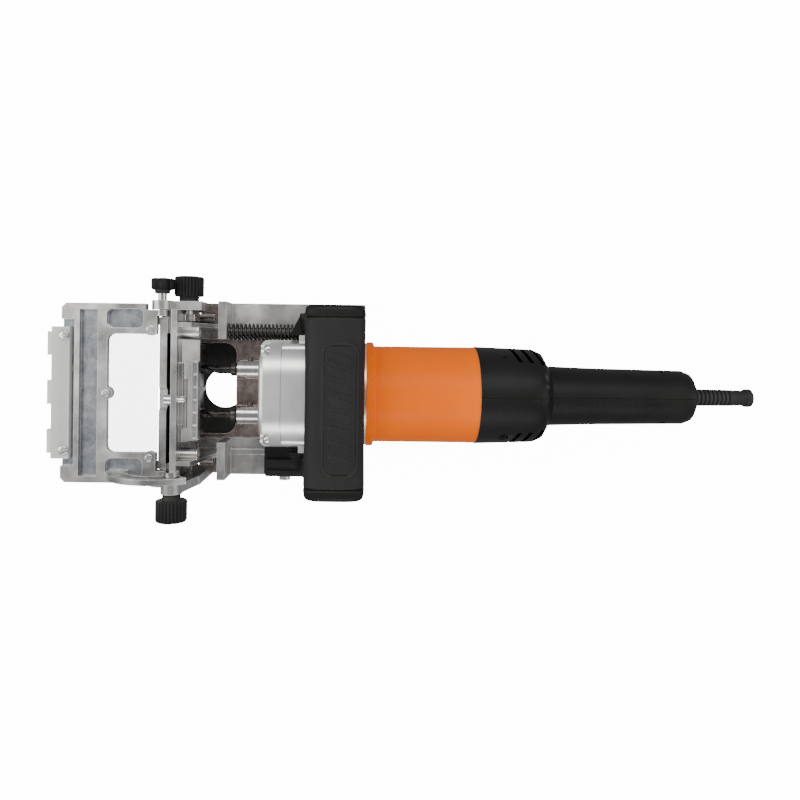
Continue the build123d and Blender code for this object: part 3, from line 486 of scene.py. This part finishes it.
def clean(mesh):
    """Weld doubled points and turn the faces outwards."""
    bm = bmesh.new()
    bm.from_mesh(mesh)
    bmesh.ops.remove_doubles(bm, verts=bm.verts, dist=1e-7)
    bmesh.ops.recalc_face_normals(bm, faces=bm.faces)
    bm.to_mesh(mesh)
    bm.free()


class Build:
    """Points and faces of one mesh, added shape by shape."""

    def __init__(self):
        self.points = []
        self.faces = []

    def rings(self, rings, cap_start=True, cap_end=True):
        """Join rings of equally many points into a closed skin."""
        base = len(self.points)
        count = len(rings[0])
        for ring in rings:
            self.points.extend(ring)
        for i in range(len(rings) - 1):
            for j in range(count):
                k = (j + 1) % count
                a = base + i * count
                b = a + count
                self.faces.append((a + j, a + k, b + k, b + j))
        if cap_start:
            self.faces.append(tuple(base + j for j in range(count)))
        if cap_end:
            last = base + (len(rings) - 1) * count
            self.faces.append(tuple(last + j for j in range(count)))

    def ring_solid(self, outline, origin, axis, steps=64):
        """Revolve a closed outline of (along, radius) pairs, which leaves a hole along the axis."""
        base = len(self.points)
        first_face = len(self.faces)
        self.turned(outline, origin, axis, steps)
        self.faces = self.faces[:first_face] + self.faces[first_face:-2]
        last = base + (len(outline) - 1) * steps
        for j in range(steps):
            k = (j + 1) % steps
            self.faces.append((last + j, last + k, base + k, base + j))

    def turned(self, profile, origin, axis, steps=64, shape=None):
        """Revolve (along, radius) pairs about an axis; shape(angle, i) scales ring i's radius."""
        along = Vector(axis).normalized()
        side = along.orthogonal().normalized()
        up = along.cross(side)
        rings = []
        for i, (distance, radius) in enumerate(profile):
            ring = []
            for j in range(steps):
                angle = 2 * math.pi * j / steps
                reach = radius * (shape(angle, i) if shape else 1)
                ring.append(Vector(origin) + along * distance
                            + (side * math.cos(angle) + up * math.sin(angle)) * reach)
            rings.append(ring)
        self.rings(rings)

    def tube(self, path, radius, steps=10):
        """A round bar along a path of points."""
        angles = [2 * math.pi * j / steps for j in range(steps)]
        rings = []
        normal = None
        for i, point in enumerate(path):
            ahead = (path[min(i + 1, len(path) - 1)] - path[max(i - 1, 0)]).normalized()
            normal = ahead.orthogonal() if normal is None else normal
            normal = (normal - ahead * normal.dot(ahead)).normalized()
            side = ahead.cross(normal)
            rings.append([point + (normal * math.cos(a) + side * math.sin(a)) * radius for a in angles])
        self.rings(rings)

    def mesh(self, name):
        mesh = bpy.data.meshes.new(name)
        mesh.from_pydata([tuple(point) for point in self.points], [], self.faces)
        return mesh

    def piece(self, name, body, slot, replaced=(), sharp_angle=35):
        """Make the object: smooth except across sharp edges, and riding on a CAD body."""
        mesh = self.mesh(name)
        mesh.validate()
        obj = link(bpy.data.objects.new(name, mesh))
        clean(mesh)
        for polygon in mesh.polygons:
            polygon.use_smooth = True
        mesh.set_sharp_from_angle(angle=math.radians(sharp_angle))
        paint(obj, MATERIALS[slot])
        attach(obj, body)
        if replaced:
            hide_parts(*replaced)
        return obj


def middle(node):
    low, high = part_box(node)
    return (low + high) / 2


# ---------------------------------------------------------------- knobs
def knob_profile(depth, radius, round_over):
    """A knob's outline: a flat start, a straight side and a rounded outer rim."""
    profile = [(0, POINT), (0, radius * 0.93), (0.5 * MM, radius)]
    for degrees in range(0, 91, 15):
        a = math.radians(degrees)
        profile.append((depth - round_over * (1 - math.sin(a)), radius - round_over * (1 - math.cos(a))))
    dish = depth - 0.6 * MM
    return profile + [(depth - 0.1 * MM, radius * 0.62), (dish, radius * 0.58), (dish, POINT)]


def ribbed_knob(name, node, body, out, collar_radius, ribs=26):
    """A round knob with moulded ribs; out is +1 or -1, the way it points along Y."""
    low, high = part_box(node)
    centre = (low + high) / 2
    radius = (high.x - low.x) / 2
    depth = 14 * MM
    round_over = 1.6 * MM
    rib_depth = 0.075
    outer = high.y if out > 0 else low.y
    start = outer - out * depth
    inner = low.y if out > 0 else high.y
    build = Build()
    profile = knob_profile(depth, radius, round_over)
    last_side = len(profile) - 4

    def shape(angle, i):
        if not 2 <= i <= last_side:
            return 1.0
        wave = 0.5 + 0.5 * math.cos(ribs * angle)
        return 1.0 - rib_depth * (1 - wave ** 0.5)

    build.turned(profile, (centre.x, start, centre.z), (0, out, 0), steps=ribs * 8, shape=shape)
    reach = abs(start - inner) + 0.5 * MM
    build.turned([(0, POINT), (0, collar_radius * 0.94), (0.4 * MM, collar_radius), (reach, collar_radius),
                  (reach, POINT)],
                 (centre.x, inner, centre.z), (0, out, 0), steps=48)
    return build.piece(name, body, "black_plastic", [node], 42)


def lobed_knob():
    """The five-lobed knob on the hinge axis."""
    low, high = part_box("pivot_lock_knob")
    hinge = middle("pivot_lock_stud")
    radius = 8.2 * MM
    hub = 5.2 * MM
    lobes = 5
    lobe_turn = 0.35
    depth = high.y - low.y
    hub_depth = 2.4 * MM
    build = Build()

    def shape(angle, i):
        if not 1 <= i <= 8:
            return 1.0
        wave = 0.5 + 0.5 * math.cos(lobes * (angle + lobe_turn))
        return 0.78 + 0.22 * wave ** 0.6

    rim = 1.5 * MM
    profile = [(0, POINT), (0, radius - rim)]
    for a in (0.5, 1.0, 1.57):
        profile.append((rim * (1 - math.cos(a)), radius - rim * (1 - math.sin(a))))
    top = depth - hub_depth
    for a in (0.0, 0.6, 1.1, 1.57):
        profile.append((top - rim * (1 - math.sin(a)), radius - rim * (1 - math.cos(a))))
    profile += [(top, 4.2 * MM), (top - 0.5 * MM, 3.9 * MM), (top - 0.5 * MM, POINT)]
    build.turned(profile, (hinge.x, low.y + hub_depth, hinge.z), (0, 1, 0), steps=120, shape=shape)
    build.turned([(0, POINT), (0, hub * 0.95), (0.3 * MM, hub), (hub_depth + 0.5 * MM, hub),
                  (hub_depth + 0.5 * MM, POINT)], (hinge.x, low.y, hinge.z), (0, 1, 0), steps=48)
    return build.piece("lobed_clamp_knob", "pivot_lock_knob", "black_plastic",
                       ["pivot_lock_knob"], 42)


def coil_spring():
    """The return spring, seated on the base's front post; the plunge shortens the real spring, but this coil
    keeps one length.
    """
    low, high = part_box("return_spring")
    centre = (low + high) / 2
    wire = 0.78 * MM
    radius = (high.z - low.z) / 2 - wire
    turns = 26
    steps = 26
    build = Build()
    path = []
    for i in range(turns * steps + 1):
        share = i / (turns * steps)
        angle = 2 * math.pi * turns * share
        ease = share + 0.006 * math.sin(2 * math.pi * share)
        path.append(Vector((low.x + wire + (high.x - low.x - 2 * wire) * ease,
                            centre.y + radius * math.cos(angle), centre.z + radius * math.sin(angle))))
    build.tube(path, wire, 10)
    spring = build.piece("return_spring_coil", "base", "black_steel",
                         ["return_spring"], 60)
    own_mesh(spring)


# ---------------------------------------------------------------- drill bits and spindle sleeves
def drill_bit(side):
    """A two-flute bit with a brad point, its shank running into the sleeve."""
    low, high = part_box(f"drill_bit_{side}")
    centre = (low + high) / 2
    radius = 3.0 * MM
    flute_end = low.x + 36 * MM
    steps = 72
    pitch = 22 * MM
    rings = []
    stations = [(low.x, 0.05), (low.x + 1.0 * MM, 0.16), (low.x + 1.8 * MM, 0.24), (low.x + 2.2 * MM, 0.97)]
    stations += [(low.x + 2.4 * MM + (flute_end - low.x) * i / 90, 1.0) for i in range(91)]
    stations += [(flute_end + 4 * MM + 1.0 * MM * i, 1.0) for i in range(3)] + [(high.x, 1.0)]
    for x, share in stations:
        twist = 2 * math.pi * (x - low.x) / pitch
        fade = min(1.0, max(0.0, (flute_end - x) / (5 * MM)))
        ring = []
        for j in range(steps):
            angle = 2 * math.pi * j / steps
            wave = 0.5 + 0.5 * math.cos(2 * (angle - twist))
            cut = 0.5 * fade * max(0.0, wave - 0.35) / 0.65
            reach = radius * share * (1 - cut)
            ring.append(Vector((x, centre.y + reach * math.cos(angle), centre.z + reach * math.sin(angle))))
        rings.append(ring)
    build = Build()
    build.rings(rings)
    build.piece(f"twist_bit_{side}", f"spindle_{side}", "black_steel", [f"drill_bit_{side}"], 50)


def spindle_sleeve(side):
    """The turned sleeve that holds a bit, with a groove and a dark neck at its nose."""
    low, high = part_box(f"spindle_sleeve_{side}")
    centre = (low + high) / 2
    radius = (high.y - low.y) / 2
    bore = 3.1 * MM
    neck = 4.6 * MM
    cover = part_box("gearbox_cover")[0].x
    front = low.x + neck
    chamfer = 0.7 * MM
    groove = front + 5.6 * MM
    groove_radius = radius * 0.975
    inside = cover + 4 * MM
    outline = [(front, radius - chamfer), (front + chamfer, radius), (groove, radius),
               (groove + 0.2 * MM, groove_radius), (groove + 0.7 * MM, groove_radius),
               (groove + 0.9 * MM, radius), (inside, radius), (inside, radius * 0.9),
               (high.x, radius * 0.4), (high.x, bore), (front, bore)]
    build = Build()
    build.ring_solid(outline, (0, centre.y, centre.z), (1, 0, 0), 72)
    build.piece(f"turned_sleeve_{side}", f"spindle_{side}", "machined_steel",
                [f"spindle_sleeve_{side}"], 30)
    ring = Build()
    nose = 4.45 * MM
    back = front + 0.2 * MM
    ring.ring_solid([(low.x, bore), (low.x, 3.9 * MM), (low.x + 0.6 * MM, nose), (low.x + 3.6 * MM, nose),
                     (low.x + 3.8 * MM, 4.1 * MM), (back, 4.1 * MM), (back, bore)],
                    (0, centre.y, centre.z), (1, 0, 0), 72)
    ring.piece(f"nose_ring_{side}", f"spindle_{side}", "black_steel", (), 30)


# ---------------------------------------------------------------- bow handle
RELIEF_MM = 0.8
PATTERN_CENTRE = (3.5, -4)
PATTERN_HALF = (10.5, 39)
BARS = 8
BAR_PITCH = 8.6
BAR_SLANT = 0.25


def smooth_step(value):
    value = max(0.0, min(1.0, value))
    return value * value * (3 - 2 * value)


def rounded_box_distance(x, y, half_x, half_y, radius):
    """Signed distance from (x, y) to a rounded rectangle centred on the origin."""
    dx = abs(x) - half_x + radius
    dy = abs(y) - half_y + radius
    outside = math.hypot(max(dx, 0), max(dy, 0))
    return outside + min(max(dx, dy), 0) - radius


def grip_relief(x, y):
    """Height of the moulded grip pattern, in mm: a rounded frame round a row of slanted bars."""
    across, length = x - PATTERN_CENTRE[0], y - PATTERN_CENTRE[1]
    edge = rounded_box_distance(across, length, *PATTERN_HALF, 6)
    frame_line = 1 - smooth_step((abs(edge) - 0.5) / 0.45)
    bars = 0.0
    for i in range(BARS):
        along = length - (i - (BARS - 1) / 2) * BAR_PITCH + BAR_SLANT * across
        bars = max(bars, 1 - smooth_step(rounded_box_distance(across, along, 6.6, 2.1, 2.0) / 0.5))
    return RELIEF_MM * max(frame_line, bars)


def even_outline(half_x, half_z, steps, power=3.6):
    """Points evenly spaced round a superellipse."""
    fine = []
    for j in range(1441):
        angle = 2 * math.pi * j / 1440
        c, s = math.cos(angle), math.sin(angle)
        fine.append((half_x * math.copysign(abs(c) ** (2 / power), c),
                     half_z * math.copysign(abs(s) ** (2 / power), s)))
    lengths = [0.0]
    for a, b in zip(fine, fine[1:]):
        lengths.append(lengths[-1] + math.hypot(b[0] - a[0], b[1] - a[1]))
    points = []
    k = 0
    for j in range(steps):
        want = lengths[-1] * j / steps
        while lengths[k + 1] < want:
            k += 1
        share = (want - lengths[k]) / max(1e-12, lengths[k + 1] - lengths[k])
        points.append((fine[k][0] + (fine[k + 1][0] - fine[k][0]) * share,
                       fine[k][1] + (fine[k + 1][1] - fine[k][1]) * share))
    return points


def grip_section(y, outline, shrink_x, shrink_z, centre, relief=None):
    """One ring of the grip at y."""
    ring = []
    for x, z in outline:
        x, z = x * shrink_x, z * shrink_z
        if relief and z > 0:
            z += relief(x / MM, y / MM) * MM * smooth_step((z / MM - 6) / 4)
        ring.append(Vector((centre.x + x, y, centre.z + z)))
    return ring


def bow_handle():
    """The rubber grip with its raised pattern, and a moulded cap at each end."""
    low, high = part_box("handle_grip")
    centre = (low + high) / 2
    half_x = (high.x - low.x) / 2
    half_z = (high.z - low.z) / 2
    relief_height = 0.85 * MM
    outline = even_outline(half_x, half_z - relief_height, 220)
    end = high.y
    rings = []
    rows = 240
    for i in range(rows + 1):
        y = -end + 2 * end * i / rows
        near = (end - abs(y)) / MM
        groove = 0.9 * MM * (1 - smooth_step(near / 1.1))
        waist = 0.5 * MM * (1 - (y / end) ** 2)
        rings.append(grip_section(y, outline, 1 - (waist + groove) / half_x, 1 - groove / half_z, centre,
                                  grip_relief))
    build = Build()
    build.rings(rings)
    build.piece("bow_grip", "carriage", "grip_rubber", ["handle_grip"], 50)
    caps = Build()
    cap_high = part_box("handle_end_caps")[1].y
    for s in (1, -1):
        steps_in = [(end + 0.2 * MM, 0.9), (end + 0.9 * MM, 0.1), (end + 2.0 * MM, 0), (end + 4.2 * MM, 0.35)]
        round_over = 3.0 * MM
        for a in range(0, 91, 15):
            turn = math.radians(a)
            steps_in.append((cap_high - round_over * (1 - math.sin(turn)), 0.35 + 3.0 * (1 - math.cos(turn))))
        caps.rings([grip_section(s * y, outline, 1 - inset * MM / half_x, 1 - inset * MM / half_z, centre)
                    for y, inset in steps_in])
    caps.piece("bow_end_caps", "carriage", "black_plastic", ["handle_end_caps"], 50)


# ---------------------------------------------------------------- screws
def screw_mesh(head_radius, head_height, recess, cross=True):
    """A domed screw head standing on z = 0, with a cross or a hexagon sunk in it, as (points, faces)."""
    build = Build()
    dome = [(0, POINT), (0, head_radius)]
    rim = head_height * 0.55
    for a in (0.0, 0.4, 0.8, 1.2, 1.57):
        dome.append((head_height - rim * (1 - math.sin(a)), head_radius - rim * 0.8 * (1 - math.cos(a))))
    dome.append((head_height, POINT))
    build.turned(dome, (0, 0, 0), (0, 0, 1), steps=40)
    mesh = build.mesh("screw_head")
    head = link(bpy.data.objects.new("screw_head", mesh))
    cutter = Build()
    over = head_height + 0.3 * MM
    floor = head_height - recess
    if cross:
        for turn in (0, math.pi / 2):
            rings = []
            for z, share in ((over, 1.0), (floor, 0.55)):
                ring = []
                for sx, sy in ((1, 1), (-1, 1), (-1, -1), (1, -1)):
                    x, y = sx * head_radius * 0.58 * share, sy * head_radius * 0.12
                    ring.append(Vector((x * math.cos(turn) - y * math.sin(turn),
                                        x * math.sin(turn) + y * math.cos(turn), z)))
                rings.append(ring)
            cutter.rings(rings)
    else:
        socket = head_radius * 0.52
        cutter.turned([(floor, socket), (over, socket)], (0, 0, 0), (0, 0, 1), steps=6)
    cutter_mesh = cutter.mesh("screw_recess")
    tool = link(bpy.data.objects.new("screw_recess", cutter_mesh))
    clean(mesh)
    clean(cutter_mesh)
    cut = head.modifiers.new("recess", "BOOLEAN")
    cut.operation = "DIFFERENCE"
    cut.solver = "EXACT"
    cut.use_self = True
    cut.object = tool
    result = bpy.data.meshes.new_from_object(head.evaluated_get(bpy.context.evaluated_depsgraph_get()))
    points = [v.co.copy() for v in result.vertices]
    faces = [tuple(p.vertices) for p in result.polygons]
    for obj in (head, tool):
        bpy.data.objects.remove(obj)
    return points, faces


def screws(name, node, body, places, out, head_radius, head_height, shank, cross=True):
    """A group of screws; each place is the seat of a head, and out is the way the heads face."""
    points, faces = screw_mesh(head_radius, head_height, head_height * 0.7, cross)
    shank_radius, shank_length = shank
    build = Build()
    direction = Vector(out)
    for place in places:
        spin = Matrix.Rotation(random.uniform(0, math.pi), 4, "Z")
        turn = direction.to_track_quat("Z", "Y").to_matrix().to_4x4()
        base = len(build.points)
        build.points += [turn @ (spin @ p) + Vector(place) for p in points]
        build.faces += [tuple(base + i for i in face) for face in faces]
        build.turned([(-shank_length, shank_radius * 0.8), (-shank_length + 0.5 * MM, shank_radius),
                      (0.1 * MM, shank_radius)], place, direction, steps=24)
    return build.piece(name, body, "zinc_screws", [node], 35)


# ---------------------------------------------------------------- boot
def ribbed_boot():
    """The strain-relief boot: a flange, a ribbed taper and a rolled end, with the cable's bore through it."""
    low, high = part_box("cable_boot")
    centre = (low + high) / 2
    bore = 3.75 * MM
    start = low.x
    outline = [(start, bore), (start, 8.9 * MM), (start + 2.7 * MM, 8.9 * MM), (start + 2.9 * MM, 6.1 * MM)]
    groove_start = start + 9.5 * MM
    groove_pitch = 2.9 * MM
    grooves = 9
    taper = 0.011
    for i in range(grooves):
        x = groove_start + groove_pitch * i
        r = 6.15 * MM - taper * (x - start)
        deep = r - 0.75 * MM
        outline += [(x, r), (x + 0.25 * MM, deep), (x + 1.0 * MM, deep), (x + 1.25 * MM, r)]
    end = high.x
    outline += [(end - 6.5 * MM, 5.35 * MM), (end - 5.2 * MM, 5.6 * MM), (end - 4.4 * MM, 6.3 * MM),
                (end - 3.4 * MM, 6.48 * MM), (end - 1.2 * MM, 6.48 * MM), (end - 0.3 * MM, 6.1 * MM),
                (end, 5.4 * MM), (end, bore)]
    build = Build()
    build.ring_solid(outline, (0, centre.y, centre.z), (1, 0, 0), 64)
    build.piece("strain_relief_boot", "carriage", "grip_rubber", ["cable_boot"], 30)


# ---------------------------------------------------------------- screws in place
def all_screws():
    """Seat each group's heads inside the box of its own CAD node."""
    low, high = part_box("window_screws")
    head = 2.8 * MM
    seat = high.z - 1.6 * MM
    rear = high.x - head
    places = [(low.x + head, 0, seat), (rear, high.y - head, seat), (rear, low.y + head, seat)]
    screws("window_pan_screws", "window_screws", "fence", places, (0, 0, 1), 2.75 * MM, 1.55 * MM,
           (1.45 * MM, 6.4 * MM))
    low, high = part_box("strip_screws")
    x_middle = (low.x + high.x) / 2
    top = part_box("wear_strip")[1].z
    head = 3.4 * MM
    places = [(x_middle, low.y + head, top), (x_middle, high.y - head, top)]
    screws("strip_pan_screws", "strip_screws", "fence", places, (0, 0, 1), 3.35 * MM, 1.85 * MM,
           (1.95 * MM, 7.4 * MM))
    low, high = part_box("gearbox_screws")
    head = 3.6 * MM
    head_back = low.x + 4.2 * MM
    places = [(head_back, y, z) for y in (low.y + head, high.y - head) for z in (low.z + head, high.z - head)]
    screws("gearbox_socket_screws", "gearbox_screws", "carriage", places, (-1, 0, 0), 3.55 * MM, 4.15 * MM,
           (1.95 * MM, 22.9 * MM), cross=False)
    low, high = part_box("handle_screws")
    head_depth = 3.5 * MM
    z = high.z - head
    seats = []
    for x in (low.x + head, high.x - head):
        seats += [((x, high.y - head_depth, z), (0, 1, 0)), ((x, low.y + head_depth, z), (0, -1, 0))]
    for i, (place, out) in enumerate(seats):
        screws(f"handle_socket_screw_{i + 1}", "handle_screws", "carriage", [place], out,
               3.55 * MM, 3.45 * MM, (1.95 * MM, 13.7 * MM), cross=False)


EDGE_MM = {"base_casting": 0.5, "front_plate": 0.5, "fence_plate": 0.6, "fence_carrier": 0.55,
           "gearbox_cover": 0.5, "gearbox_housing": 0.6, "depth_stop": 0.6, "handle_frame": 0.8,
           "rear_shell_right": 0.5, "rear_shell_left": 0.5, "motor_housing": 0.5, "slide_shoe": 0.4,
           "switch_slider": 0.3}


def finish_castings():
    """Round the edges of castings and mouldings, and give the aluminium ones their own finishes."""
    for node, width in EDGE_MM.items():
        soften(node, width * MM)
    soften("wear_strip", 0.35 * MM, merge_flats=True)
    for node in ("gearbox_cover", "gearbox_housing"):
        paint(frame["nodes"][node], GEARBOX)
    paint(frame["nodes"]["fence_plate"], FENCE_CASTING)
    paint(frame["nodes"]["base_casting"], BASE_CASTING)
    paint(frame["nodes"]["fence_carrier"], CARRIER)


def detailed_pieces():
    ribbed_knob("height_adjuster_knob", "height_knob", "height_knob", 1, 6.9 * MM)
    ribbed_knob("angle_clamp_knob", "angle_lock_knob", "angle_lock_knob", -1, 5.9 * MM)
    lobed_knob()
    coil_spring()
    for side in ("right", "left"):
        drill_bit(side)
        spindle_sleeve(side)
    bow_handle()
    ribbed_boot()
    all_screws()
    finish_castings()


make_camera()
make_lights()
make_world()
make_floor()
dress_cad_nodes()
detailed_pieces()
